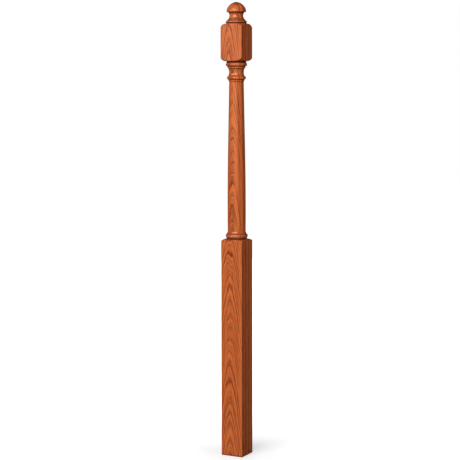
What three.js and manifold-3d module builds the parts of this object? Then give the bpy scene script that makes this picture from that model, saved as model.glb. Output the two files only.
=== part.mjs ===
// A turned hardwood newel post. From the floor up it has a long square foot block, a bead, a shaft that
// tapers upwards, a collar of bead, cove and bead, a short square block for the handrail, and a mushroom cap.
// It is cut from one length of square stock on a lathe, so it is one solid: the turned shape is spun from a
// profile and is then limited to the square section of the stock, which leaves the two blocks with flat sides
// and rounded shoulders.
// Millimetres, +Z up. The origin is the middle of the underside, and the flat sides face along X and Y.

import * as THREE from "three";
import { mergeVertices } from "three/addons/utils/BufferGeometryUtils.js";
import Module from "manifold-3d";

// Square stock: 76 mm is the common 3 inch square, with its long edges eased by hand.
const STOCK_WIDTH = 76;
const ARRIS_RADIUS = 1.5;

// Foot block. A shoulder height is measured to where the turning leaves the corners of the stock.
const FOOT_BLOCK_LENGTH = 714.8;
const FOOT_SHOULDER_HEIGHT = 9;

// Base moulding, from the foot block up to the shaft.
const BASE_NECK_RADIUS = 33.4;
const BASE_NECK_HEIGHT = 5.6;
const BASE_BEAD_ROOT_RADIUS = 32.4;
const BASE_BEAD_RADIUS = 36.1;
const BASE_BEAD_HEIGHT = 11.2;
const BASE_FILLET_RADIUS = 31.7;
const BASE_FILLET_HEIGHT = 3.8;
const BASE_FLARE_RADIUS = 30.8;
const BASE_FLARE_HEIGHT = 8;

// Shaft: it swells a little above its foot and then draws in to its top.
const SHAFT_LENGTH = 480.6;
const SHAFT_FOOT_RADIUS = 29.2;
const SHAFT_SWELL_HANDLE_RADIUS = 30.9;
const SHAFT_TAPER_HANDLE_RADIUS = 26.2;
const SHAFT_TOP_RADIUS = 23.4;

// Collar, from the top of the shaft up to the rail block.
const COLLAR_FLARE_RADIUS = 24.8;
const COLLAR_FLARE_HEIGHT = 2.2;
const COLLAR_FILLET_RADIUS = 25.7;
const COLLAR_FILLET_HEIGHT = 4.9;
const COLLAR_BEAD_ROOT_RADIUS = 25.4;
const COLLAR_BEAD_RADIUS = 30.6;
const COLLAR_BEAD_HEIGHT = 11.3;
const COLLAR_COVE_FOOT_RADIUS = 26.4;
const COLLAR_COVE_WAIST_RADIUS = 23.7;
const COLLAR_COVE_WAIST_HEIGHT = 10.8;
const COLLAR_COVE_TOP_RADIUS = 26.1;
const COLLAR_COVE_HEIGHT = 24.9;
const NECK_FILLET_RADIUS = 28.7;
const NECK_FILLET_HEIGHT = 6;
const NECK_BEAD_ROOT_RADIUS = 29.4;
const NECK_BEAD_RADIUS = 34.3;
const NECK_BEAD_HEIGHT = 11.8;
const NECK_RADIUS = 31.8;
const NECK_HEIGHT = 4.6;

// Rail block
const RAIL_BLOCK_LENGTH = 119.8;
const RAIL_LOWER_SHOULDER_HEIGHT = 17.5;
const RAIL_UPPER_SHOULDER_HEIGHT = 21;

// Mushroom cap, from the rail block up.
const CAP_SEAT_RADIUS = 33;
const CAP_SEAT_HEIGHT = 2.4;
const CAP_RING_ROOT_RADIUS = 31.6;
const CAP_RING_RADIUS = 34;
const CAP_RING_HEIGHT = 6.5;
const CAP_FILLET_RADIUS = 29.2;
const CAP_FILLET_HEIGHT = 4;
const CAP_COVE_FOOT_RADIUS = 27.2;
const CAP_COVE_WAIST_RADIUS = 21.8;
const CAP_COVE_WAIST_HEIGHT = 12.7;
const CAP_COVE_TOP_RADIUS = 25.4;
const CAP_COVE_HEIGHT = 22.9;
const CAP_UNDERSIDE_RISE = 1.1;
const CAP_RIM_RADIUS = 31;
const CAP_RIM_HEIGHT = 4.4;
const CAP_RIM_EASING = 0.6;
const CAP_DOME_HEIGHT = 27.4;
const CAP_DOME_SIDE_HANDLE = 11.8;
const CAP_DOME_TOP_HANDLE = 15;

// How finely the round shapes are faceted.
const SIDES_AROUND = 40;
const SIDES_PER_ARRIS = 3;
const SHAFT_STEPS = 8;
const SHOULDER_STEPS = 6;
const BEAD_STEPS = 6;
const HOLLOW_STEPS = 4;
const DOME_STEPS = 8;

const WOOD_COLOUR = 0xb4622f;
const WOOD_ROUGHNESS = 0.42;

// The blocks are turned past the corners of the stock, and the stock is longer than the turning at both
// ends, so that the two meet only where one is meant to cut the other.
const OVERCUT = 1;
const CORNER_REACH = STOCK_WIDTH / Math.SQRT2 + OVERCUT;

// Corners of neighbouring triangles that lie closer than this are one point.
const MERGE_DISTANCE = 1e-4;

// Profile of the turning, drawn upwards from the axis at the foot. x is the radius and y is the height. Each
// helper starts where the last one stopped.
class Turning {
  points = [new THREE.Vector2(0, 0)];

  get end() {
    return this.points.at(-1);
  }

  to(radius, height) {
    this.points.push(new THREE.Vector2(radius, height));
  }

  along(curve, steps) {
    this.points.push(...curve.getPoints(steps).slice(1));
  }

  // A flat ledge out or in to another radius.
  ledge(radius) {
    this.to(radius, this.end.y);
  }

  // A side, upright unless it ends at another radius.
  side(height, endRadius = this.end.x) {
    this.to(endRadius, this.end.y + height);
  }

  // A fillet: a ledge and then an upright side.
  fillet(radius, height) {
    this.ledge(radius);
    this.side(height);
  }

  // A half-round moulding that stands out from its root to its radius.
  bead(rootRadius, radius, height) {
    const middle = this.end.y + height / 2;
    const depth = radius - rootRadius;
    this.ledge(rootRadius);
    this.along(
      new THREE.EllipseCurve(rootRadius, middle, depth, height / 2, -Math.PI / 2, Math.PI / 2),
      BEAD_STEPS,
    );
  }

  // Half of a hollow, upright at its waist and leaning outwards at its other end.
  hollow(waistRadius, endRadius, height) {
    const handle = new THREE.Vector2(waistRadius, this.end.y + height / 2);
    const end = new THREE.Vector2(endRadius, this.end.y + height);
    this.along(new THREE.QuadraticBezierCurve(this.end, handle, end), HOLLOW_STEPS);
  }

  // A whole hollow, from a ledge at its foot, in to the waist and out again to its top.
  cove(footRadius, waistRadius, waistHeight, topRadius, height) {
    this.ledge(footRadius);
    this.hollow(waistRadius, waistRadius, waistHeight);
    this.hollow(waistRadius, topRadius, height - waistHeight);
  }

  // A long free curve, with its two handles at a third and two thirds of its length.
  taper(lowerHandleRadius, upperHandleRadius, endRadius, length) {
    const { x, y } = this.end;
    this.along(
      new THREE.CubicBezierCurve(
        new THREE.Vector2(x, y),
        new THREE.Vector2(lowerHandleRadius, y + length / 3),
        new THREE.Vector2(upperHandleRadius, y + (length * 2) / 3),
        new THREE.Vector2(endRadius, y + length),
      ),
      SHAFT_STEPS,
    );
  }

  // The rounded end of a square block, turned from the neck below it out past its corners.
  shoulderOut(height) {
    const { x, y } = this.end;
    this.along(
      new THREE.EllipseCurve(x, y + height, CORNER_REACH - x, height, -Math.PI / 2, 0),
      SHOULDER_STEPS,
    );
  }

  // The rounded end of a square block, turned from past its corners in to the neck above it.
  shoulderIn(neckRadius, height) {
    this.along(
      new THREE.EllipseCurve(neckRadius, this.end.y, CORNER_REACH - neckRadius, height, 0, Math.PI / 2),
      SHOULDER_STEPS,
    );
  }

  // A dome that starts upright at its rim and closes level on the axis.
  dome(height, sideHandle, topHandle) {
    const { x, y } = this.end;
    this.along(
      new THREE.CubicBezierCurve(
        new THREE.Vector2(x, y),
        new THREE.Vector2(x, y + sideHandle),
        new THREE.Vector2(topHandle, y + height),
        new THREE.Vector2(0, y + height),
      ),
      DOME_STEPS,
    );
  }
}

function turnFootBlock(turning) {
  turning.ledge(CORNER_REACH);
  turning.side(FOOT_BLOCK_LENGTH - FOOT_SHOULDER_HEIGHT);
  turning.shoulderIn(BASE_NECK_RADIUS, FOOT_SHOULDER_HEIGHT);
}

function turnBaseMoulding(turning) {
  turning.side(BASE_NECK_HEIGHT);
  turning.bead(BASE_BEAD_ROOT_RADIUS, BASE_BEAD_RADIUS, BASE_BEAD_HEIGHT);
  turning.fillet(BASE_FILLET_RADIUS, BASE_FILLET_HEIGHT);
  turning.ledge(BASE_FLARE_RADIUS);
  turning.hollow(SHAFT_FOOT_RADIUS, SHAFT_FOOT_RADIUS, BASE_FLARE_HEIGHT);
}

function turnShaft(turning) {
  turning.taper(SHAFT_SWELL_HANDLE_RADIUS, SHAFT_TAPER_HANDLE_RADIUS, SHAFT_TOP_RADIUS, SHAFT_LENGTH);
}

function turnCollar(turning) {
  turning.hollow(SHAFT_TOP_RADIUS, COLLAR_FLARE_RADIUS, COLLAR_FLARE_HEIGHT);
  turning.fillet(COLLAR_FILLET_RADIUS, COLLAR_FILLET_HEIGHT);
  turning.bead(COLLAR_BEAD_ROOT_RADIUS, COLLAR_BEAD_RADIUS, COLLAR_BEAD_HEIGHT);
  turning.cove(
    COLLAR_COVE_FOOT_RADIUS,
    COLLAR_COVE_WAIST_RADIUS,
    COLLAR_COVE_WAIST_HEIGHT,
    COLLAR_COVE_TOP_RADIUS,
    COLLAR_COVE_HEIGHT,
  );
  turning.fillet(NECK_FILLET_RADIUS, NECK_FILLET_HEIGHT);
  turning.bead(NECK_BEAD_ROOT_RADIUS, NECK_BEAD_RADIUS, NECK_BEAD_HEIGHT);
  turning.fillet(NECK_RADIUS, NECK_HEIGHT);
}

function turnRailBlock(turning) {
  turning.shoulderOut(RAIL_LOWER_SHOULDER_HEIGHT);
  turning.side(RAIL_BLOCK_LENGTH - RAIL_LOWER_SHOULDER_HEIGHT - RAIL_UPPER_SHOULDER_HEIGHT);
  turning.shoulderIn(CAP_SEAT_RADIUS, RAIL_UPPER_SHOULDER_HEIGHT);
}

function turnCap(turning) {
  turning.side(CAP_SEAT_HEIGHT);
  turning.bead(CAP_RING_ROOT_RADIUS, CAP_RING_RADIUS, CAP_RING_HEIGHT);
  turning.fillet(CAP_FILLET_RADIUS, CAP_FILLET_HEIGHT);
  turning.cove(
    CAP_COVE_FOOT_RADIUS,
    CAP_COVE_WAIST_RADIUS,
    CAP_COVE_WAIST_HEIGHT,
    CAP_COVE_TOP_RADIUS,
    CAP_COVE_HEIGHT,
  );
  turning.side(CAP_UNDERSIDE_RISE, CAP_RIM_RADIUS - CAP_RIM_EASING);
  turning.side(CAP_RIM_EASING, CAP_RIM_RADIUS);
  turning.side(CAP_RIM_HEIGHT - CAP_RIM_EASING);
  turning.dome(CAP_DOME_HEIGHT, CAP_DOME_SIDE_HANDLE, CAP_DOME_TOP_HANDLE);
}

// The section of the stock: a square with its four arrises rounded.
function stockSection() {
  const flat = STOCK_WIDTH / 2 - ARRIS_RADIUS;
  const section = new THREE.Shape();
  for (let corner = 0; corner < 4; corner++) {
    const angle = (corner * Math.PI) / 2;
    const middle = new THREE.Vector2(flat, flat).rotateAround(new THREE.Vector2(), angle);
    section.absarc(middle.x, middle.y, ARRIS_RADIUS, angle, angle + Math.PI / 2, false);
  }
  return section;
}

const wasm = await Module();
wasm.setup();

// A closed three.js geometry as a solid that can be cut.
function toSolid(geometry) {
  const bare = geometry.clone();
  bare.deleteAttribute("normal");
  bare.deleteAttribute("uv");
  const merged = mergeVertices(bare, MERGE_DISTANCE);
  return new wasm.Manifold(
    new wasm.Mesh({
      numProp: 3,
      vertProperties: new Float32Array(merged.attributes.position.array),
      triVerts: new Uint32Array(merged.index.array),
    }),
  );
}

function toGeometry(solid) {
  const { vertProperties, triVerts } = solid.getMesh();
  const geometry = new THREE.BufferGeometry();
  geometry.setAttribute("position", new THREE.BufferAttribute(new Float32Array(vertProperties), 3));
  geometry.setIndex(new THREE.BufferAttribute(new Uint32Array(triVerts), 1));
  geometry.computeVertexNormals();
  return geometry;
}

// The turned shape limited to the stock.
function newelPostGeometry() {
  const turning = new Turning();
  turnFootBlock(turning);
  turnBaseMoulding(turning);
  turnShaft(turning);
  turnCollar(turning);
  turnRailBlock(turning);
  turnCap(turning);

  const turned = new THREE.LatheGeometry(turning.points, SIDES_AROUND).rotateX(Math.PI / 2);
  const stock = new THREE.ExtrudeGeometry(stockSection(), {
    depth: turning.end.y + 2 * OVERCUT,
    bevelEnabled: false,
    curveSegments: SIDES_PER_ARRIS,
  }).translate(0, 0, -OVERCUT);
  return toGeometry(toSolid(turned).intersect(toSolid(stock)));
}

const wood = new THREE.MeshStandardMaterial({
  name: "stained_oak",
  color: WOOD_COLOUR,
  roughness: WOOD_ROUGHNESS,
  metalness: 0,
});

const newelPost = new THREE.Mesh(newelPostGeometry(), wood);
newelPost.name = "newel_post";

const post = new THREE.Group();
post.name = "post";
post.add(newelPost);

export default post;
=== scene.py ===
# A turned oak newel post in reddish brown stain and satin lacquer, in a plain studio. The post is one
# piece: its profile is drawn row by row, a node tree spins the rows and limits them to the square stock,
# and its wood is one solid pattern of growth rings that every cut shows in its own way. Lengths are
# metres, and +Z is up.

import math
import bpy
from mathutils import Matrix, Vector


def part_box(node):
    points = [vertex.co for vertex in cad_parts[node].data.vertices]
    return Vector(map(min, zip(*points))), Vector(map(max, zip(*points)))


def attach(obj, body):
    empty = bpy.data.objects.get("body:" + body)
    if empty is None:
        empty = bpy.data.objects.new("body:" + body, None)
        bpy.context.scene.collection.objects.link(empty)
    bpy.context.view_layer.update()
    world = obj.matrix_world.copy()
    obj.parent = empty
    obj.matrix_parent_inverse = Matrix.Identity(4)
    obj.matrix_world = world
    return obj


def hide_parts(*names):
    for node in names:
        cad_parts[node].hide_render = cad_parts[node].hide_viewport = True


bl_info = {
    "name": "Turned Newel Post",
    "version": (1, 0, 0),
    "blender": (4, 5, 0),
    "location": "3D View > Sidebar > Newel Post",
    "description": "Builds a stained oak newel post and a plain studio around it",
    "category": "Add Mesh",
}

from dataclasses import dataclass

import bpy
from bpy.props import FloatProperty, FloatVectorProperty, IntProperty, PointerProperty
from mathutils import Matrix, Vector

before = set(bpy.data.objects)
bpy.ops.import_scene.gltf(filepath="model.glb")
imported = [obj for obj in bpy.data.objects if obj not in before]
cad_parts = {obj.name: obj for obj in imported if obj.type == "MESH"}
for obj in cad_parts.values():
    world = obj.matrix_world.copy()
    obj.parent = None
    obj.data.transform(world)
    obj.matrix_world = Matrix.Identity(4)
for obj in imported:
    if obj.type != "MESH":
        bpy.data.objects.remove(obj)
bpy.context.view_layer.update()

NODE = "newel_post"
BODY = "root"

MM = 0.001
POST_LOW, POST_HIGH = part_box(NODE)
STOCK_WIDTH = POST_HIGH.x - POST_LOW.x
POST_HEIGHT = POST_HIGH.z - POST_LOW.z

# Heights of the forms, from the floor up, each measured from the one below it.
FOOT_BLOCK_LENGTH = 714.8 * MM
FOOT_SHOULDER_HEIGHT = 9 * MM
BASE_NECK_HEIGHT = 5.6 * MM
BASE_BEAD_HEIGHT = 11.2 * MM
BASE_FILLET_HEIGHT = 3.8 * MM
BASE_FLARE_HEIGHT = 8 * MM
SHAFT_LENGTH = 480.6 * MM
COLLAR_FLARE_HEIGHT = 2.2 * MM
COLLAR_FILLET_HEIGHT = 4.9 * MM
COLLAR_BEAD_HEIGHT = 11.3 * MM
COLLAR_COVE_WAIST_HEIGHT = 10.8 * MM
COLLAR_COVE_HEIGHT = 24.9 * MM
NECK_FILLET_HEIGHT = 6 * MM
NECK_BEAD_HEIGHT = 11.8 * MM
NECK_HEIGHT = 4.6 * MM
RAIL_BLOCK_LENGTH = 119.8 * MM
RAIL_LOWER_SHOULDER_HEIGHT = 17.5 * MM
RAIL_UPPER_SHOULDER_HEIGHT = 21 * MM
CAP_SEAT_HEIGHT = 2.4 * MM
CAP_RING_HEIGHT = 6.5 * MM
CAP_FILLET_HEIGHT = 4 * MM
CAP_COVE_WAIST_HEIGHT = 12.7 * MM
CAP_COVE_HEIGHT = 22.9 * MM
CAP_UNDERSIDE_RISE = 1.1 * MM
CAP_RIM_HEIGHT = 4.4 * MM
CAP_DOME_SIDE_HANDLE = 11.8 * MM

# Radii of the forms, in the same order.
BASE_NECK_RADIUS = 33.4 * MM
BASE_BEAD_ROOT_RADIUS = 32.4 * MM
BASE_BEAD_RADIUS = 36.1 * MM
BASE_FILLET_RADIUS = 31.7 * MM
BASE_FLARE_RADIUS = 30.8 * MM
SHAFT_FOOT_RADIUS = 29.2 * MM
SHAFT_SWELL_HANDLE_RADIUS = 30.9 * MM
SHAFT_TAPER_HANDLE_RADIUS = 26.2 * MM
SHAFT_TOP_RADIUS = 23.4 * MM
COLLAR_FLARE_RADIUS = 24.8 * MM
COLLAR_FILLET_RADIUS = 25.7 * MM
COLLAR_BEAD_ROOT_RADIUS = 25.4 * MM
COLLAR_BEAD_RADIUS = 30.6 * MM
COLLAR_COVE_FOOT_RADIUS = 26.4 * MM
COLLAR_COVE_WAIST_RADIUS = 23.7 * MM
COLLAR_COVE_TOP_RADIUS = 26.1 * MM
NECK_FILLET_RADIUS = 28.7 * MM
NECK_BEAD_ROOT_RADIUS = 29.4 * MM
NECK_BEAD_RADIUS = 34.3 * MM
NECK_RADIUS = 31.8 * MM
CAP_SEAT_RADIUS = 33 * MM
CAP_RING_ROOT_RADIUS = 31.6 * MM
CAP_RING_RADIUS = 34 * MM
CAP_FILLET_RADIUS = 29.2 * MM
CAP_COVE_FOOT_RADIUS = 27.2 * MM
CAP_COVE_WAIST_RADIUS = 21.8 * MM
CAP_COVE_TOP_RADIUS = 25.4 * MM
CAP_RIM_RADIUS = 31 * MM
CAP_RIM_EASING = 0.6 * MM
CAP_DOME_TOP_HANDLE = 15 * MM

# The shoulders are turned a little past the corners of the stock.
OVERCUT = 1 * MM
CORNER_REACH = STOCK_WIDTH / math.sqrt(2) + OVERCUT

# Edges: the arrises of the blocks, how far sanding has rounded the turned edges, and the largest share
# of a short form that this may take up at each end.
ARRIS_RADIUS = 1.5 * MM
EDGE_EASING = 0.45 * MM
LARGEST_EASED_SHARE = 0.3

# How closely the profile is followed, and how far the columns of faces crowd to the corners.
FLAT_SIDES = 4
SIDES_AROUND = 200
CORNER_CROWDING = 0.75
MERGE_DISTANCE = 0.001 * MM
BEAD_STEPS = 16
HOLLOW_STEPS = 9
SHAFT_STEPS = 56
DOME_STEPS = 26
CORNER_STEPS = 4
WALL_ROW_SPACING = 36 * MM
SHARP_CORNER = math.radians(22)
SHOULDER_SHARES = (0, 0.015, 0.05, 0.13, 0.24, 0.36, 0.49, 0.62, 0.74, 0.85, 0.93, 0.98, 1)
UNDERSIDE_SHARES = (0, 0.25, 0.5, 0.75, 0.93, 1)

# Forms this near in height shelter a quirk: the material paints shade in it by its shelter, together with
# the stain that the wiping cloth leaves there. Out along a shoulder the shelter fades, faster with a
# higher power.
RECESS_REACH = 5.5 * MM
RECESS_FADE = 6


class PostSettings(bpy.types.PropertyGroup):
    """Sizes and colours of the newel post."""

    stock_width: FloatProperty(
        name="Stock Width",
        description="Width of the square stock across its flat sides",
        default=STOCK_WIDTH,
        min=0.05,
        max=0.12,
        unit="LENGTH",
    )
    arris_radius: FloatProperty(
        name="Arris Radius",
        description="Radius of the four long edges of the two square blocks",
        default=ARRIS_RADIUS,
        min=0.5 * MM,
        max=12 * MM,
        unit="LENGTH",
    )
    edge_easing: FloatProperty(
        name="Edge Easing",
        description="How far sanding has rounded the turned edges and the rims of the blocks",
        default=EDGE_EASING,
        min=0.1 * MM,
        max=1.5 * MM,
        unit="LENGTH",
    )
    sides_around: IntProperty(
        name="Sides Around",
        description="Number of faces around the post, a multiple of eight",
        default=SIDES_AROUND,
        min=32,
        max=256,
        step=8,
    )
    light_wood: FloatVectorProperty(
        name="Light Wood",
        description="Stained colour of the smooth wood between the rings",
        default=(0.745, 0.182, 0.054),
        size=3,
        subtype="COLOR",
        min=0,
        max=1,
    )
    dark_wood: FloatVectorProperty(
        name="Dark Wood",
        description="Stained colour of the open-grained rings",
        default=(0.26, 0.036, 0.004),
        size=3,
        subtype="COLOR",
        min=0,
        max=1,
    )
    # Also the colour of the painted shade, with stain, in the quirks.
    pore_stain_and_shade_colour: FloatVectorProperty(
        name="Pore Colour",
        description="Colour of the stain that has gathered in the pores and quirks",
        default=(0.075, 0.015, 0.005),
        size=3,
        subtype="COLOR",
        min=0,
        max=1,
    )


class StudioSettings(bpy.types.PropertyGroup):
    """Colours and strengths of the plain studio."""

    floor_colour: FloatVectorProperty(
        name="Floor Colour",
        description="Colour of the plain pale floor",
        default=(0.705, 0.765, 0.995),
        size=3,
        subtype="COLOR",
        min=0,
        max=1,
    )
    key_power: FloatProperty(
        name="Key Power",
        description="Power of the large soft light in front of the post",
        default=311,
        min=0,
        unit="POWER",
    )
    fill_power: FloatProperty(
        name="Fill Power",
        description="Power of the weak soft light at the right of the post",
        default=12.8,
        min=0,
        unit="POWER",
    )
    back_power: FloatProperty(
        name="Back Power",
        description="Power of the soft light behind the post",
        default=90,
        min=0,
        unit="POWER",
    )
    ambient: FloatProperty(
        name="Ambient",
        description="Brightness of the even light from all around",
        default=0.04,
        min=0,
        max=2,
        subtype="FACTOR",
    )


@dataclass
class Row:
    """One level line of the post, before it is limited to the square stock.

    A turned row is a circle. A shoulder row lies on an arc that starts at that circle and runs out to the
    square: reach is the share of the way there, and rounding the share of the way round the eased rim. A
    wall row lies on the flat sides, a share of the way from one row to another.
    """

    radius: float
    height: float
    arc_width: float = 0.0
    arc_rise: float = 0.0
    reach: float = 0.0
    rounding: float = 0.0
    wall_side: float = 0.0
    lower_row: int = 0
    upper_row: int = 0
    wall_share: float = 0.0
    recess: float = 0.0


ROW_FLOATS = ("arc_width", "arc_rise", "reach", "rounding", "wall_side", "wall_share", "recess")
ROW_INTEGERS = ("lower_row", "upper_row")


def bezier(handles, steps):
    """Points of a curve with any number of handles, its first point left out."""
    degree = len(handles) - 1
    points = []
    for step in range(1, steps + 1):
        t = step / steps
        point = Vector((0, 0))
        for i, handle in enumerate(handles):
            point += math.comb(degree, i) * (1 - t) ** (degree - i) * t**i * handle
        points.append(point)
    return points


class Turning:
    """A stretch of turned profile, drawn upwards. Each form starts where the last one stopped."""

    def __init__(self, radius, height):
        self.points = [Vector((radius, height))]

    @property
    def end(self):
        return self.points[-1]

    def ledge(self, radius):
        self.points.append(Vector((radius, self.end.y)))

    def side(self, height, end_radius=None):
        radius = self.end.x if end_radius is None else end_radius
        self.points.append(Vector((radius, self.end.y + height)))

    def fillet(self, radius, height):
        self.ledge(radius)
        self.side(height)

    def bead(self, root_radius, radius, height):
        middle = self.end.y + height / 2
        self.ledge(root_radius)
        for step in range(1, BEAD_STEPS + 1):
            angle = math.pi * (step / BEAD_STEPS - 0.5)
            self.points.append(
                Vector(
                    (
                        root_radius + (radius - root_radius) * math.cos(angle),
                        middle + height / 2 * math.sin(angle),
                    )
                )
            )

    def hollow(self, waist_radius, end_radius, height):
        handle = Vector((waist_radius, self.end.y + height / 2))
        end = Vector((end_radius, self.end.y + height))
        self.points += bezier([self.end, handle, end], HOLLOW_STEPS)

    def cove(self, foot_radius, waist_radius, waist_height, top_radius, height):
        self.ledge(foot_radius)
        self.hollow(waist_radius, waist_radius, waist_height)
        self.hollow(waist_radius, top_radius, height - waist_height)

    def taper(self, lower_handle_radius, upper_handle_radius, end_radius, length):
        radius, height = self.end
        handles = [
            Vector((radius, height)),
            Vector((lower_handle_radius, height + length / 3)),
            Vector((upper_handle_radius, height + length * 2 / 3)),
            Vector((end_radius, height + length)),
        ]
        self.points += bezier(handles, SHAFT_STEPS)

    def dome(self, height, side_handle, top_handle):
        radius, foot = self.end
        handles = [
            Vector((radius, foot)),
            Vector((radius, foot + side_handle)),
            Vector((top_handle, foot + height)),
            Vector((0, foot + height)),
        ]
        self.points += bezier(handles, DOME_STEPS)

    def rows(self, easing):
        """The profile as rows, with its sharp corners eased."""
        points = self.points
        rows = [Row(*points[0])]
        for before, corner, after in zip(points, points[1:], points[2:]):
            into = corner - before
            out = after - corner
            if into.angle(out) < SHARP_CORNER:
                rows.append(Row(*corner))
                continue
            back = min(easing, into.length * LARGEST_EASED_SHARE)
            onward = min(easing, out.length * LARGEST_EASED_SHARE)
            start = corner - into.normalized() * back
            end = corner + out.normalized() * onward
            rows.append(Row(*(start - into.normalized() * back)))
            rows.append(Row(*start))
            rows += [Row(*point) for point in bezier([start, corner, end], CORNER_STEPS)]
            rows.append(Row(*(end + out.normalized() * onward)))
        rows.append(Row(*points[-1]))
        return rows


def shoulder_rows(neck_radius, neck_height, rise, wall_side, shares=SHOULDER_SHARES):
    """Rows from a neck out along an arc to the rim of a block, and round its eased edge to the sides."""
    arc = {"arc_width": CORNER_REACH - neck_radius, "arc_rise": rise, "wall_side": wall_side}
    rows = [Row(neck_radius, neck_height, reach=share, **arc) for share in shares]
    rows += [
        Row(neck_radius, neck_height, reach=1, rounding=step / CORNER_STEPS, **arc)
        for step in range(1, CORNER_STEPS + 1)
    ]
    return rows


def wall_rows(first, length, easing):
    """Rows up the flat sides of a block. The row before them and the row after them are its two rims."""
    count = max(2, round(length / WALL_ROW_SPACING))
    edge = easing / length
    shares = [edge] + [i / count for i in range(1, count)] + [1 - edge]
    last = first + len(shares) + 1
    return [Row(0, 0, lower_row=first, upper_row=last, wall_share=share) for share in shares]


def on_face(row):
    """Radius and height of a row in the middle of a flat side, where a shoulder reaches out the least."""
    if not row.arc_width:
        return row.radius, row.height
    angle = row.reach * math.asin((STOCK_WIDTH / 2 - row.radius) / row.arc_width)
    return (
        row.radius + row.arc_width * math.sin(angle),
        row.height + row.arc_rise * (1 - math.cos(angle)),
    )


def mark_recesses(rows):
    """Tells each row how much of its outlook the forms just above and below it take away, from 0 to 1."""
    places = [None if row.wall_share else on_face(row) for row in rows]
    for row, place in zip(rows, places):
        if place is None:
            continue
        radius, height = place
        above = below = 0.0
        for other in filter(None, places):
            rise = other[1] - height
            out = other[0] - radius
            if out <= 0 or abs(rise) > RECESS_REACH:
                continue
            if rise >= 0:
                above = max(above, math.atan2(out, rise))
            if rise <= 0:
                below = max(below, math.atan2(out, -rise))
        # The material paints shade and stain in the quirks by this shelter.
        row.recess = (above + below) / math.pi * (1 - row.reach) ** RECESS_FADE


def post_rows(easing):
    """All rows of the post, from the middle of its underside to the top of its cap."""
    rows = shoulder_rows(0, 0, 0, 1, UNDERSIDE_SHARES)

    base = Turning(BASE_NECK_RADIUS, FOOT_BLOCK_LENGTH)
    base.side(BASE_NECK_HEIGHT)
    base.bead(BASE_BEAD_ROOT_RADIUS, BASE_BEAD_RADIUS, BASE_BEAD_HEIGHT)
    base.fillet(BASE_FILLET_RADIUS, BASE_FILLET_HEIGHT)
    base.ledge(BASE_FLARE_RADIUS)
    base.hollow(SHAFT_FOOT_RADIUS, SHAFT_FOOT_RADIUS, BASE_FLARE_HEIGHT)
    base.taper(SHAFT_SWELL_HANDLE_RADIUS, SHAFT_TAPER_HANDLE_RADIUS, SHAFT_TOP_RADIUS, SHAFT_LENGTH)
    base.hollow(SHAFT_TOP_RADIUS, COLLAR_FLARE_RADIUS, COLLAR_FLARE_HEIGHT)
    base.fillet(COLLAR_FILLET_RADIUS, COLLAR_FILLET_HEIGHT)
    base.bead(COLLAR_BEAD_ROOT_RADIUS, COLLAR_BEAD_RADIUS, COLLAR_BEAD_HEIGHT)
    base.cove(
        COLLAR_COVE_FOOT_RADIUS,
        COLLAR_COVE_WAIST_RADIUS,
        COLLAR_COVE_WAIST_HEIGHT,
        COLLAR_COVE_TOP_RADIUS,
        COLLAR_COVE_HEIGHT,
    )
    base.fillet(NECK_FILLET_RADIUS, NECK_FILLET_HEIGHT)
    base.bead(NECK_BEAD_ROOT_RADIUS, NECK_BEAD_RADIUS, NECK_BEAD_HEIGHT)
    base.fillet(NECK_RADIUS, NECK_HEIGHT)

    rows += wall_rows(len(rows) - 1, FOOT_BLOCK_LENGTH, easing)
    rows += reversed(shoulder_rows(BASE_NECK_RADIUS, FOOT_BLOCK_LENGTH, -FOOT_SHOULDER_HEIGHT, -1))
    rows += base.rows(easing)[1:-1]

    rail_foot = base.end.y
    rail_top = rail_foot + RAIL_BLOCK_LENGTH
    rows += shoulder_rows(NECK_RADIUS, rail_foot, RAIL_LOWER_SHOULDER_HEIGHT, 1)
    rows += wall_rows(len(rows) - 1, RAIL_BLOCK_LENGTH, easing)
    rows += reversed(shoulder_rows(CAP_SEAT_RADIUS, rail_top, -RAIL_UPPER_SHOULDER_HEIGHT, -1))

    cap = Turning(CAP_SEAT_RADIUS, rail_top)
    cap.side(CAP_SEAT_HEIGHT)
    cap.bead(CAP_RING_ROOT_RADIUS, CAP_RING_RADIUS, CAP_RING_HEIGHT)
    cap.fillet(CAP_FILLET_RADIUS, CAP_FILLET_HEIGHT)
    cap.cove(
        CAP_COVE_FOOT_RADIUS,
        CAP_COVE_WAIST_RADIUS,
        CAP_COVE_WAIST_HEIGHT,
        CAP_COVE_TOP_RADIUS,
        CAP_COVE_HEIGHT,
    )
    cap.side(CAP_UNDERSIDE_RISE, CAP_RIM_RADIUS - CAP_RIM_EASING)
    cap.side(CAP_RIM_EASING, CAP_RIM_RADIUS)
    cap.side(CAP_RIM_HEIGHT - CAP_RIM_EASING)
    cap.dome(POST_HEIGHT - cap.end.y, CAP_DOME_SIDE_HANDLE, CAP_DOME_TOP_HANDLE)
    rows += cap.rows(easing)[1:]
    mark_recesses(rows)
    return rows


def profile_mesh(rows):
    """The rows as a line of vertices, with what each row says in attributes of its own."""
    mesh = bpy.data.meshes.new("newel_post_profile")
    mesh.from_pydata(
        [(row.radius, 0, row.height) for row in rows],
        [(i, i + 1) for i in range(len(rows) - 1)],
        [],
    )
    for kind, names in (("FLOAT", ROW_FLOATS), ("INT", ROW_INTEGERS)):
        for name in names:
            attribute = mesh.attributes.new(name, kind, "POINT")
            attribute.data.foreach_set("value", [getattr(row, name) for row in rows])
    return mesh


# How the nodes are laid out in the editor.
NODES_IN_ROW = 24
NODE_WIDTH = 190
NODE_HEIGHT = 260


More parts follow.
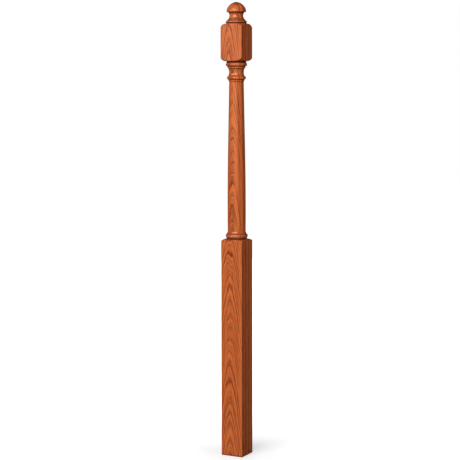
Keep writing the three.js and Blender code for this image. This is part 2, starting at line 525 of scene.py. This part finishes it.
class Tree:
    """A node tree written as plain calls. An input may be a value or another node's output socket."""

    def __init__(self, tree):
        self.tree = tree

    def node(self, kind, inputs=None, **settings):
        node = self.tree.nodes.new(kind)
        line, place = divmod(len(self.tree.nodes), NODES_IN_ROW)
        node.location = (place * NODE_WIDTH, -line * NODE_HEIGHT)
        for name, value in settings.items():
            setattr(node, name, value)
        for key, value in (inputs or {}).items():
            if isinstance(value, bpy.types.NodeSocket):
                self.tree.links.new(value, node.inputs[key])
            else:
                node.inputs[key].default_value = value
        return node

    def math(self, operation, *values, clamp=False):
        inputs = dict(enumerate(values))
        return self.node("ShaderNodeMath", inputs, operation=operation, use_clamp=clamp).outputs[0]

    def add(self, *values):
        total = values[0]
        for value in values[1:]:
            total = self.math("ADD", total, value)
        return total

    def multiply(self, *values):
        product = values[0]
        for value in values[1:]:
            product = self.math("MULTIPLY", product, value)
        return product

    def subtract(self, a, b):
        return self.math("SUBTRACT", a, b)

    def divide(self, a, b):
        return self.math("DIVIDE", a, b)

    def power(self, a, b):
        return self.math("POWER", a, b)

    def vector(self, x, y, z):
        return self.node("ShaderNodeCombineXYZ", {0: x, 1: y, 2: z}).outputs[0]

    def split(self, vector):
        return self.node("ShaderNodeSeparateXYZ", {0: vector}).outputs


def square_radius(tree, angle, width, arris_radius):
    """Distance from the axis to the square stock at an angle, round its arrises too."""
    side_angle = 2 * math.pi / FLAT_SIDES
    folded = tree.math("FLOORED_MODULO", tree.add(angle, side_angle / 2), side_angle)
    tilt = tree.math("ABSOLUTE", tree.subtract(folded, side_angle / 2))
    half = tree.multiply(width, 0.5)
    centre = tree.subtract(half, arris_radius)
    cosine = tree.math("COSINE", tilt)
    flat = tree.divide(half, cosine)
    along = tree.multiply(centre, tree.add(cosine, tree.math("SINE", tilt)))
    root = tree.math(
        "SQRT",
        tree.add(
            tree.power(along, 2),
            tree.multiply(tree.power(centre, 2), -2),
            tree.power(arris_radius, 2),
        ),
    )
    rounded = tree.add(along, root)
    past_flat = tree.math("GREATER_THAN", tree.multiply(half, tree.math("TANGENT", tilt)), centre)
    return tree.node(
        "ShaderNodeMix", {0: past_flat, 2: flat, 3: rounded}, data_type="FLOAT"
    ).outputs[0]


def turned_post_tree():
    """Geometry nodes that spin the rows of a profile and limit them to the square stock."""
    group = bpy.data.node_groups.new("turned_post", "GeometryNodeTree")
    group.is_modifier = True
    sockets = {}
    for name, kind, default in (
        ("Profile", "NodeSocketGeometry", None),
        ("Stock Width", "NodeSocketFloat", STOCK_WIDTH),
        ("Arris Radius", "NodeSocketFloat", ARRIS_RADIUS),
        ("Edge Easing", "NodeSocketFloat", EDGE_EASING),
        ("Sides Around", "NodeSocketInt", SIDES_AROUND),
        ("Corner Crowding", "NodeSocketFloat", CORNER_CROWDING),
        ("Material", "NodeSocketMaterial", None),
    ):
        socket = group.interface.new_socket(name=name, in_out="INPUT", socket_type=kind)
        if default is not None:
            socket.default_value = default
        sockets[name] = socket
    group.interface.new_socket(name="Post", in_out="OUTPUT", socket_type="NodeSocketGeometry")

    tree = Tree(group)
    given = tree.node("NodeGroupInput").outputs
    profile = given["Profile"]
    row_count = tree.node(
        "GeometryNodeAttributeDomainSize", {"Geometry": profile}, component="MESH"
    ).outputs["Point Count"]
    sides = given["Sides Around"]
    column_count = tree.add(sides, 1)
    grid = tree.node(
        "GeometryNodeMeshGrid",
        {"Size X": 1.0, "Size Y": 1.0, "Vertices X": column_count, "Vertices Y": row_count},
    ).outputs["Mesh"]

    index = tree.node("GeometryNodeInputIndex").outputs[0]
    column = tree.math("FLOOR", tree.divide(tree.add(index, 0.5), row_count))
    row = tree.subtract(index, tree.multiply(column, row_count))

    def sampled(name, kind="FLOAT"):
        if name == "position":
            value = tree.node("GeometryNodeInputPosition").outputs[0]
        else:
            value = tree.node(
                "GeometryNodeInputNamedAttribute", {"Name": name}, data_type=kind
            ).outputs["Attribute"]
        return tree.node(
            "GeometryNodeSampleIndex",
            {"Geometry": profile, "Value": value, "Index": row},
            data_type=kind,
            domain="POINT",
        ).outputs[0]

    share = tree.divide(tree.math("FLOORED_MODULO", column, sides), sides)
    turn = tree.multiply(share, 2 * math.pi)
    crowding = tree.multiply(given["Corner Crowding"], 1 / FLAT_SIDES)
    shift = tree.multiply(crowding, tree.math("SINE", tree.multiply(turn, FLAT_SIDES)))
    angle = tree.add(turn, shift)
    square = square_radius(tree, angle, given["Stock Width"], given["Arris Radius"])

    place = tree.split(sampled("position", "FLOAT_VECTOR"))
    neck_radius, neck_height = place["X"], place["Z"]
    arc_width = sampled("arc_width")
    arc_rise = sampled("arc_rise")
    rounding = sampled("rounding")

    rim_angle = tree.math("ARCSINE", tree.divide(tree.subtract(square, neck_radius), arc_width))
    rim_pace = tree.math(
        "SQRT",
        tree.add(
            tree.power(tree.multiply(arc_width, tree.math("COSINE", rim_angle)), 2),
            tree.power(tree.multiply(arc_rise, tree.math("SINE", rim_angle)), 2),
        ),
    )
    setback = tree.divide(given["Edge Easing"], rim_pace)
    arc_angle = tree.multiply(tree.subtract(rim_angle, setback), sampled("reach"))

    def on_arc(at_angle):
        radius = tree.add(neck_radius, tree.multiply(arc_width, tree.math("SINE", at_angle)))
        height = tree.add(
            neck_height,
            tree.multiply(arc_rise, tree.subtract(1.0, tree.math("COSINE", at_angle))),
        )
        return radius, height

    arc_radius, arc_height = on_arc(arc_angle)
    rim_radius, rim_height = on_arc(rim_angle)
    wall_height = tree.add(rim_height, tree.multiply(sampled("wall_side"), given["Edge Easing"]))

    def eased(start, corner, end):
        back = tree.subtract(1.0, rounding)
        return tree.add(
            tree.multiply(tree.power(back, 2), start),
            tree.multiply(2.0, back, rounding, corner),
            tree.multiply(tree.power(rounding, 2), end),
        )

    radius = eased(arc_radius, rim_radius, rim_radius)
    height = eased(arc_height, rim_height, wall_height)
    spun = tree.node(
        "GeometryNodeSetPosition",
        {
            "Geometry": grid,
            "Position": tree.vector(
                tree.multiply(radius, tree.math("COSINE", angle)),
                tree.multiply(radius, tree.math("SINE", angle)),
                height,
            ),
        },
    ).outputs[0]

    wall_share = sampled("wall_share")
    first = tree.multiply(column, row_count)

    def point_of(name):
        return tree.node(
            "GeometryNodeSampleIndex",
            {
                "Geometry": spun,
                "Value": tree.node("GeometryNodeInputPosition").outputs[0],
                "Index": tree.add(first, sampled(name, "INT")),
            },
            data_type="FLOAT_VECTOR",
            domain="POINT",
        ).outputs[0]

    on_wall = tree.node(
        "ShaderNodeMix",
        {0: wall_share, 4: point_of("lower_row"), 5: point_of("upper_row")},
        data_type="VECTOR",
    ).outputs[1]
    walled = tree.node(
        "GeometryNodeSetPosition",
        {
            "Geometry": spun,
            "Selection": tree.math("GREATER_THAN", wall_share, 0.0),
            "Position": on_wall,
        },
    ).outputs[0]
    # How sheltered each row is, by which the material paints shade in the quirks.
    marked = tree.node(
        "GeometryNodeStoreNamedAttribute",
        {"Geometry": walled, "Name": "recess", "Value": sampled("recess")},
        data_type="FLOAT",
        domain="POINT",
    ).outputs[0]
    closed = tree.node(
        "GeometryNodeMergeByDistance", {"Geometry": marked, "Distance": MERGE_DISTANCE}
    ).outputs[0]
    smooth = tree.node("GeometryNodeSetShadeSmooth", {"Geometry": closed}).outputs[0]
    real = tree.node("GeometryNodeRealizeInstances", {"Geometry": smooth}).outputs[0]
    painted = tree.node(
        "GeometryNodeSetMaterial", {"Geometry": real, "Material": given["Material"]}
    ).outputs[0]
    tree.node("NodeGroupOutput", {0: painted})
    return group, sockets


def baked(profile, name, values):
    """An object of that name with what the turned post tree makes of the profile, as a plain mesh."""
    group, sockets = turned_post_tree()
    piece = bpy.data.objects.new(name, profile)
    bpy.context.scene.collection.objects.link(piece)
    modifier = piece.modifiers.new("turned_post", "NODES")
    modifier.node_group = group
    for socket_name, value in values.items():
        modifier[sockets[socket_name].identifier] = value
    depsgraph = bpy.context.evaluated_depsgraph_get()
    mesh = bpy.data.meshes.new_from_object(
        piece.evaluated_get(depsgraph), preserve_all_data_layers=True, depsgraph=depsgraph
    )
    mesh.name = name
    piece.modifiers.remove(modifier)
    piece.data = mesh
    bpy.data.meshes.remove(profile)
    return piece


# The wood, in millimetres. The rings are cones around a pith in front of the post, since the tree grew
# narrower upwards. Slow and quick wander bend them: the size across and along the post, then the reach.
PITH_X = -6
PITH_Y = -62
RING_LEAN = 0.117
RING_SPACING = 5
RING_SHARPNESS = 4
SLOW_WANDER = (60, 330)
SLOW_REACH_X = 16
SLOW_REACH_Y = 14
QUICK_WANDER = (9, 55)
QUICK_REACH = 4.5

# Each ring differs from the next, and darker and lighter bands run along with the rings.
RING_TO_RING = 0.37
RING_STRENGTHS = (0.3, 0.7)
FAINTEST_RING = 0.25
BAND_SPACING = 4.5
BAND_START = 41
BAND_DETAIL = 4
BAND_UNEVENNESS = 0.8
BAND_EDGES = (0.38, 0.62)

# Broad upright bands of slow and fast growth: how far out they are, and how dark the wood is there.
GROWTH_CENTRE_Y = -78
GROWTH_REACH = 126
GROWTH_BANDS = (
    (40, 0.3),
    (47, 0.3),
    (49.5, 0.42),
    (54, 0.12),
    (59, 0.12),
    (62, 0.62),
    (73, 0.14),
    (79, 0.55),
    (92, 0.02),
    (98, 0.52),
    (111, 0.02),
    (118, 0.55),
    (124, 0.8),
)

# Pores, fibre, streaks and mottle: the size across and along the post.
PORES = (0.42, 7)
FIBRE = (0.9, 40)
STREAKS = (3.4, 90)
MOTTLE = (26, 120)
PORE_EDGES = (0.56, 0.68)
PORES_WITH_RING = (0.05, 0.5)
PORES_OFF_RINGS = 0.25

# How much each of them darkens the wood, and how much lighter the whole is.
BAND_DARKNESS = 0.62
RING_DARKNESS = 1.15
FIBRE_CONTRAST = 0.5
STREAK_CONTRAST = 0.85
MOTTLE_CONTRAST = 0.4
LIGHTNESS = 0.41

# The end grain of the dome fades in over these heights.
END_GRAIN_HEIGHTS = (1452, 1462)
END_GRAIN_CALM = 0.5
END_GRAIN_DARKNESS = 0.18

# Dark stain in the pores and in a pin knot low on the right side of the foot block, painted shade with
# stain in the quirks by their shelter, and darker wood just above the floor.
PORE_STAIN = 0.55
QUIRK_FADE = (0.15, 0.45)
QUIRK_STAIN_AND_SHADE = 0.92
SOLE_HEIGHTS = (1, 6)
SOLE_DARKENING = 0.8
PIN_KNOT = (38, 9.5, 11)
PIN_KNOT_CORE = 2
PIN_KNOT_RADIUS = 6

# Relief and lacquer. The quirks are duller, with less lacquer.
RELIEF_STRENGTH = 0.2
RELIEF_DEPTH = 0.1 * MM
PORE_DEPTH = 1
RING_DEPTH = 0.25
FIBRE_HEIGHT = 0.1
WOOD_ROUGHNESS = (0.5, 0.6)
QUIRK_ROUGHNESS = 0.4
WOOD_IOR = 1.5
WOOD_SHINE = 0.35
LACQUER_WEIGHT = 0.5
LACQUER_ROUGHNESS = 0.21
LACQUER_IOR = 1.7


def stained_oak(settings):
    """Stained and lacquered oak: one solid of growth rings and pores around a pith outside the post."""
    material = bpy.data.materials.new("stained_oak")
    material.use_nodes = True
    material.node_tree.nodes.clear()
    tree = Tree(material.node_tree)

    place = tree.node("ShaderNodeTexCoord").outputs["Object"]
    x, y, z = (tree.multiply(part, 1 / MM) for part in list(tree.split(place)))

    def noise(vector, detail, output="Fac"):
        return tree.node(
            "ShaderNodeTexNoise",
            {"Vector": vector, "Scale": 1.0, "Detail": detail, "Roughness": 0.5},
        ).outputs[output]

    def noise_of(value, detail=2.0, roughness=0.5):
        return tree.node(
            "ShaderNodeTexNoise",
            {"W": value, "Scale": 1.0, "Detail": detail, "Roughness": roughness},
            noise_dimensions="1D",
        ).outputs["Fac"]

    def stretched(size):
        across, along = size
        return tree.vector(tree.divide(x, across), tree.divide(y, across), tree.divide(z, along))

    def between(value, low, high, to_low=0.0, to_high=1.0):
        return tree.node(
            "ShaderNodeMapRange",
            {0: value, 1: low, 2: high, 3: to_low, 4: to_high},
            interpolation_type="SMOOTHSTEP",
        ).outputs[0]

    def growth(distance):
        node = tree.node("ShaderNodeValToRGB", {0: tree.divide(distance, GROWTH_REACH)})
        node.color_ramp.interpolation = "EASE"
        elements = node.color_ramp.elements
        while len(elements) < len(GROWTH_BANDS):
            elements.new(0.5)
        for element, (place, shade) in zip(elements, GROWTH_BANDS):
            element.position = place / GROWTH_REACH
            element.color = (shade, shade, shade, 1)
        return node.outputs[0]

    def centred(value, amount):
        return tree.multiply(tree.subtract(value, 0.5), amount)

    def length(a, b):
        return tree.math("SQRT", tree.add(tree.power(a, 2), tree.power(b, 2)))

    def mixed(share, first, second):
        inputs = {0: share}
        for key, colour in ((6, first), (7, second)):
            linked = isinstance(colour, bpy.types.NodeSocket)
            inputs[key] = colour if linked else (*colour, 1)
        return tree.node("ShaderNodeMix", inputs, data_type="RGBA").outputs[2]

    # The rings are cones around the pith, bent by slow and quick wander.
    slow = tree.split(noise(stretched(SLOW_WANDER), 1.0, "Color"))
    quick = tree.split(noise(stretched(QUICK_WANDER), 2.0, "Color"))
    from_pith_x = tree.subtract(x, PITH_X)
    bent_x = tree.add(from_pith_x, centred(slow[0], SLOW_REACH_X), centred(quick[0], QUICK_REACH))
    bent_y = tree.add(
        tree.subtract(y, PITH_Y), centred(slow[1], SLOW_REACH_Y), centred(quick[1], QUICK_REACH)
    )
    ring = tree.add(length(bent_x, bent_y), tree.multiply(z, RING_LEAN))

    broad = growth(length(from_pith_x, tree.subtract(y, GROWTH_CENTRE_Y)))
    bands = noise_of(tree.add(tree.divide(ring, BAND_SPACING), BAND_START), BAND_DETAIL, BAND_UNEVENNESS)
    phase = tree.divide(ring, RING_SPACING)
    early = tree.power(tree.subtract(1.0, tree.math("FRACT", phase)), RING_SHARPNESS)
    strength = noise_of(tree.multiply(tree.math("FLOOR", phase), RING_TO_RING))
    line = tree.multiply(early, between(strength, *RING_STRENGTHS, FAINTEST_RING, 1.0))

    pores = tree.multiply(
        between(noise(stretched(PORES), 1.0), *PORE_EDGES),
        between(line, *PORES_WITH_RING, PORES_OFF_RINGS, 1.0),
    )
    fibre = noise(stretched(FIBRE), 2.0)
    streaks = noise(stretched(STREAKS), 1.0)
    mottle = noise(stretched(MOTTLE), 2.0)

    # The dome is end grain all over: darker, and with less of the rings.
    end_grain = between(z, *END_GRAIN_HEIGHTS)
    figure = tree.add(
        tree.multiply(between(bands, *BAND_EDGES), BAND_DARKNESS), tree.multiply(line, RING_DARKNESS)
    )
    dark = tree.add(
        tree.multiply(figure, tree.subtract(1.0, tree.multiply(end_grain, END_GRAIN_CALM))),
        centred(fibre, FIBRE_CONTRAST),
        centred(streaks, STREAK_CONTRAST),
        centred(mottle, MOTTLE_CONTRAST),
        broad,
        tree.multiply(end_grain, END_GRAIN_DARKNESS),
    )
    dark = tree.math("SUBTRACT", dark, LIGHTNESS, clamp=True)
    wood = mixed(dark, settings.light_wood, settings.dark_wood)

    # Stain in the pores and round the knot, painted shade with stain in the quirks, darker wood just
    # above the floor.
    # The quirks get painted shade, with stain, by how sheltered they are.
    recess = tree.node("ShaderNodeAttribute", attribute_name="recess").outputs["Fac"]
    quirk = between(recess, *QUIRK_FADE, 0.0, QUIRK_STAIN_AND_SHADE)
    # Darker wood just above the floor: darkest at the floor, fading out 6 mm up.
    sole = between(z, *SOLE_HEIGHTS, SOLE_DARKENING, 0.0)
    from_knot = tree.node(
        "ShaderNodeVectorMath", {0: tree.vector(x, y, z), 1: PIN_KNOT}, operation="DISTANCE"
    ).outputs["Value"]
    knot = between(from_knot, PIN_KNOT_CORE, PIN_KNOT_RADIUS, 1.0, 0.0)
    # Pores, painted shade in the quirks, darker wood at the floor and the knot: whichever is darkest.
    stain_and_shade = tree.multiply(pores, PORE_STAIN)
    for other in (quirk, sole, knot):
        stain_and_shade = tree.math("MAXIMUM", stain_and_shade, other)

    relief = tree.add(
        tree.multiply(pores, -PORE_DEPTH),
        tree.multiply(line, -RING_DEPTH),
        tree.multiply(fibre, FIBRE_HEIGHT),
    )
    bump = tree.node(
        "ShaderNodeBump", {"Strength": RELIEF_STRENGTH, "Distance": RELIEF_DEPTH, "Height": relief}
    ).outputs[0]
    polish = tree.subtract(1.0, quirk)
    shader = tree.node(
        "ShaderNodeBsdfPrincipled",
        {
            "Base Color": mixed(stain_and_shade, wood, settings.pore_stain_and_shade_colour),
            "Roughness": tree.add(
                between(dark, 0.0, 1.0, *WOOD_ROUGHNESS), tree.multiply(quirk, QUIRK_ROUGHNESS)
            ),
            "IOR": WOOD_IOR,
            "Specular IOR Level": WOOD_SHINE,
            "Coat Weight": tree.multiply(polish, LACQUER_WEIGHT),
            "Coat Roughness": LACQUER_ROUGHNESS,
            "Coat IOR": LACQUER_IOR,
            "Normal": bump,
        },
    ).outputs[0]
    tree.node("ShaderNodeOutputMaterial", {"Surface": shader})
    return material


class BuildNewelPost(bpy.types.Operator):
    """Turn the newel post from its profile and finish it in stained oak"""

    bl_idname = "newel_post.build_post"
    bl_label = "Newel Post"
    bl_options = {"REGISTER", "UNDO"}

    def execute(self, context):
        settings = context.scene.newel_post
        if settings.sides_around % 8:
            raise ValueError("the number of sides around the post is a multiple of eight")
        piece = baked(
            profile_mesh(post_rows(settings.edge_easing)),
            "turned_newel_post",
            {
                "Stock Width": settings.stock_width,
                "Arris Radius": settings.arris_radius,
                "Edge Easing": settings.edge_easing,
                "Sides Around": settings.sides_around,
                "Corner Crowding": CORNER_CROWDING,
                "Material": stained_oak(settings),
            },
        )
        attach(piece, BODY)
        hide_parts(NODE)
        return {"FINISHED"}


# Camera: a long lens in front of the post and to its right, a little below its rail block.
VIEW_AZIMUTH = math.radians(27.53)
CAMERA_DISTANCE = 4.56
CAMERA_HEIGHT = 1.22
CAMERA_PITCH = math.radians(5.96)
CAMERA_YAW = math.radians(0.275)
CAMERA_ROLL = math.radians(-0.13)
CAMERA_LENS = 110.17
SENSOR_WIDTH = 36
CLIP_START = 0.05
CLIP_END = 100

# The soft lights are a little warm.
LIGHT_COLOUR = (1.0, 0.92, 0.7)


@dataclass
class Softbox:
    """A soft rectangular light that faces a height on the post's axis, from a side given in degrees."""

    name: str
    azimuth: float
    elevation: float
    distance: float
    width: float
    height: float
    target_height: float
    leaves_highlight: bool


KEY_SOFTBOX = Softbox("key_softbox", 1, 21, 5, 5.4, 2.4, 1.35, True)
FILL_SOFTBOX = Softbox("fill_softbox", 80, 0, 2, 1, 2.4, 0.55, False)
BACK_SOFTBOX = Softbox("back_softbox", 200, 12, 5, 3, 3, 0.8, False)

# The floor glows white, and less so under the post, where its shadow lies.
FLOOR_REACH = 12
GLOW_FROM = 0.05
GLOW_TO = 0.6
LEAST_GLOW = 0.46


def around(azimuth, elevation, distance, target):
    """The point at a distance from the target, in the direction that an azimuth and an elevation give."""
    level = math.cos(elevation)
    return target + distance * Vector(
        (math.sin(azimuth) * level, -math.cos(azimuth) * level, math.sin(elevation))
    )


def add_camera():
    """A camera with no shift and no depth of field."""
    data = bpy.data.cameras.new("camera")
    data.lens = CAMERA_LENS
    data.sensor_width = SENSOR_WIDTH
    data.clip_start = CLIP_START
    data.clip_end = CLIP_END
    camera = bpy.data.objects.new("camera", data)
    bpy.context.scene.collection.objects.link(camera)
    camera.matrix_world = (
        Matrix.Translation(
            (
                CAMERA_DISTANCE * math.sin(VIEW_AZIMUTH),
                -CAMERA_DISTANCE * math.cos(VIEW_AZIMUTH),
                CAMERA_HEIGHT,
            )
        )
        @ Matrix.Rotation(VIEW_AZIMUTH + CAMERA_YAW, 4, "Z")
        @ Matrix.Rotation(math.pi / 2 - CAMERA_PITCH, 4, "X")
        @ Matrix.Rotation(CAMERA_ROLL, 4, "Z")
    )
    bpy.context.scene.camera = camera


def add_softbox(box, power):
    data = bpy.data.lights.new(box.name, "AREA")
    data.shape = "RECTANGLE"
    data.size = box.width
    data.size_y = box.height
    data.energy = power
    data.color = LIGHT_COLOUR
    light = bpy.data.objects.new(box.name, data)
    bpy.context.scene.collection.objects.link(light)
    target = Vector((0, 0, box.target_height))
    azimuth, elevation = math.radians(box.azimuth), math.radians(box.elevation)
    light.location = around(azimuth, elevation, box.distance, target)
    light.rotation_euler = (target - light.location).to_track_quat("-Z", "Y").to_euler()
    light.visible_camera = False
    light.visible_glossy = box.leaves_highlight


def add_world(ambient):
    """White to the camera, and an even dim light to the post."""
    world = bpy.data.worlds.new("studio_world")
    bpy.context.scene.world = world
    world.use_nodes = True
    world.node_tree.nodes.clear()
    tree = Tree(world.node_tree)

    def white(strength):
        inputs = {"Color": (1, 1, 1, 1), "Strength": strength}
        return tree.node("ShaderNodeBackground", inputs).outputs[0]

    seen = tree.node("ShaderNodeLightPath").outputs["Is Camera Ray"]
    mixed = tree.node("ShaderNodeMixShader", {0: seen, 1: white(ambient), 2: white(1.0)}).outputs[0]
    tree.node("ShaderNodeOutputWorld", {"Surface": mixed})


def add_floor(colour):
    """A plain pale floor that glows white, so that only the post's soft shadow shows on it."""
    mesh = bpy.data.meshes.new("floor")
    corners = [(x * FLOOR_REACH, y * FLOOR_REACH, 0) for x, y in ((-1, -1), (1, -1), (1, 1), (-1, 1))]
    mesh.from_pydata(corners, [], [(0, 1, 2, 3)])
    floor = bpy.data.objects.new("floor", mesh)
    bpy.context.scene.collection.objects.link(floor)
    material = bpy.data.materials.new("pale_floor")
    material.use_nodes = True
    material.node_tree.nodes.clear()
    tree = Tree(material.node_tree)
    place = tree.node("ShaderNodeTexCoord").outputs["Object"]
    from_post = tree.node("ShaderNodeVectorMath", {0: place}, operation="LENGTH").outputs["Value"]
    glow = tree.node(
        "ShaderNodeMapRange", {0: from_post, 1: GLOW_FROM, 2: GLOW_TO, 3: LEAST_GLOW, 4: 1.0}
    ).outputs[0]
    shader = tree.node(
        "ShaderNodeBsdfPrincipled",
        {
            "Base Color": (*colour, 1),
            "Roughness": 1.0,
            "Specular IOR Level": 0.0,
            "Emission Color": (1, 1, 1, 1),
            "Emission Strength": glow,
        },
    ).outputs[0]
    tree.node("ShaderNodeOutputMaterial", {"Surface": shader})
    mesh.materials.append(material)
    floor.visible_diffuse = False
    floor.visible_glossy = False


class BuildStudio(bpy.types.Operator):
    """Set up the camera, the soft lights and the plain pale floor"""

    bl_idname = "newel_post.build_studio"
    bl_label = "Studio"
    bl_options = {"REGISTER", "UNDO"}

    def execute(self, context):
        settings = context.scene.newel_post_studio
        scene = context.scene
        scene.view_settings.view_transform = "Standard"
        scene.view_settings.look = "None"
        add_camera()
        add_world(settings.ambient)
        add_floor(settings.floor_colour)
        add_softbox(KEY_SOFTBOX, settings.key_power)
        add_softbox(FILL_SOFTBOX, settings.fill_power)
        add_softbox(BACK_SOFTBOX, settings.back_power)
        return {"FINISHED"}


class NewelPostPanel(bpy.types.Panel):
    """Buttons and settings of the newel post and its studio"""

    bl_idname = "VIEW3D_PT_newel_post"
    bl_label = "Newel Post"
    bl_space_type = "VIEW_3D"
    bl_region_type = "UI"
    bl_category = "Newel Post"

    def draw(self, context):
        layout = self.layout
        for settings, operator in (
            (context.scene.newel_post_studio, BuildStudio),
            (context.scene.newel_post, BuildNewelPost),
        ):
            box = layout.box()
            for name in settings.__annotations__:
                box.prop(settings, name)
            box.operator(operator.bl_idname)


CLASSES = (PostSettings, StudioSettings, BuildStudio, BuildNewelPost, NewelPostPanel)


def register():
    for cls in CLASSES:
        bpy.utils.register_class(cls)
    bpy.types.Scene.newel_post = PointerProperty(type=PostSettings)
    bpy.types.Scene.newel_post_studio = PointerProperty(type=StudioSettings)


def unregister():
    del bpy.types.Scene.newel_post_studio
    del bpy.types.Scene.newel_post
    for cls in reversed(CLASSES):
        bpy.utils.unregister_class(cls)


def main():
    register()
    bpy.ops.newel_post.build_studio()
    bpy.ops.newel_post.build_post()


if __name__ == "__main__":
    main()
